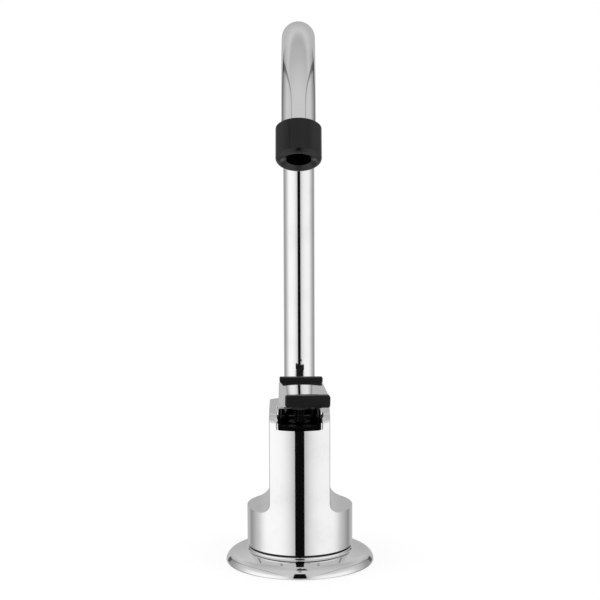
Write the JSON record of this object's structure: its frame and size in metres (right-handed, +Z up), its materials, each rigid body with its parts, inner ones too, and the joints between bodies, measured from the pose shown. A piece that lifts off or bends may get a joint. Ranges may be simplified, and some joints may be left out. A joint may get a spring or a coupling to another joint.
{
  "type": "drinking fountain faucet",
  "caption": "Gooseneck drinking faucet with a push lever over a spring closed valve, a milled chrome body, a domed escutcheon and a threaded shank.",
  "frame": {"origin": "centre of the mounting hole, in the plane of the counter top that the gasket seals on", "axes": "+Z up along the body and the shank, -Y forward, the way the spout reaches over the basin, +X to the user's right"},
  "size_m": [0.061, 0.1354, 0.2804],
  "materials": {
    "chrome": "electroplated bright chrome over brass",
    "black_acetal": "moulded satin black",
    "black_rubber": "moulded satin black",
    "seal_rubber": "matt black",
    "brass": "turned",
    "stainless_steel": "turned"
  },
  "bodies": {
    "base": {"faucet_body": "chrome", "escutcheon": "chrome", "body_seal_ring": "seal_rubber", "deck_gasket": "seal_rubber", "mounting_shank": "brass", "deck_washer": "stainless_steel", "lock_washer": "stainless_steel", "shank_nut": "brass", "slot_liner": "black_acetal", "bonnet_nut": "black_acetal", "valve_sleeve": "brass", "stem_o_ring": "seal_rubber", "sleeve_o_ring_lower": "seal_rubber", "sleeve_o_ring_upper": "seal_rubber", "return_spring": "stainless_steel", "spout_collar": "chrome"},
    "spout": {"spout_tube": "chrome", "spout_ferrule": "brass", "spout_o_ring_lower": "seal_rubber", "spout_o_ring_upper": "seal_rubber", "spout_tip": "black_rubber"},
    "lever": {"lever_cap": "chrome", "lever_core": "black_acetal", "lever_pin": "black_acetal"},
    "stem": {"valve_stem": "black_acetal", "adjusting_nut": "black_acetal", "seat_washer": "seal_rubber"}
  },
  "joints": [
    {"name": "spout_swivel", "type": "hinge", "parent": "base", "child": "spout", "pos_m": [0, 0.009, 0.066], "axis": [0, 0, 1], "continuous": true},
    {"name": "lever_press", "type": "hinge", "parent": "base", "child": "lever", "pos_m": [0, -0.005, 0.0615], "axis": [0.9936, 0.1132, 0], "range_deg": [0, 10], "stiffness_Nm_per_rad": 0.5, "springref_deg": -11.46},
    {"name": "stem_travel", "type": "slide", "parent": "base", "child": "stem", "axis": [0, 0, -1], "range_m": [0, 0.0012], "deforming": ["return_spring"]}
  ],
  "couplings": [
    {"joint": "stem_travel", "follows": "lever_press", "m_per_rad": 0.0059}
  ]
}
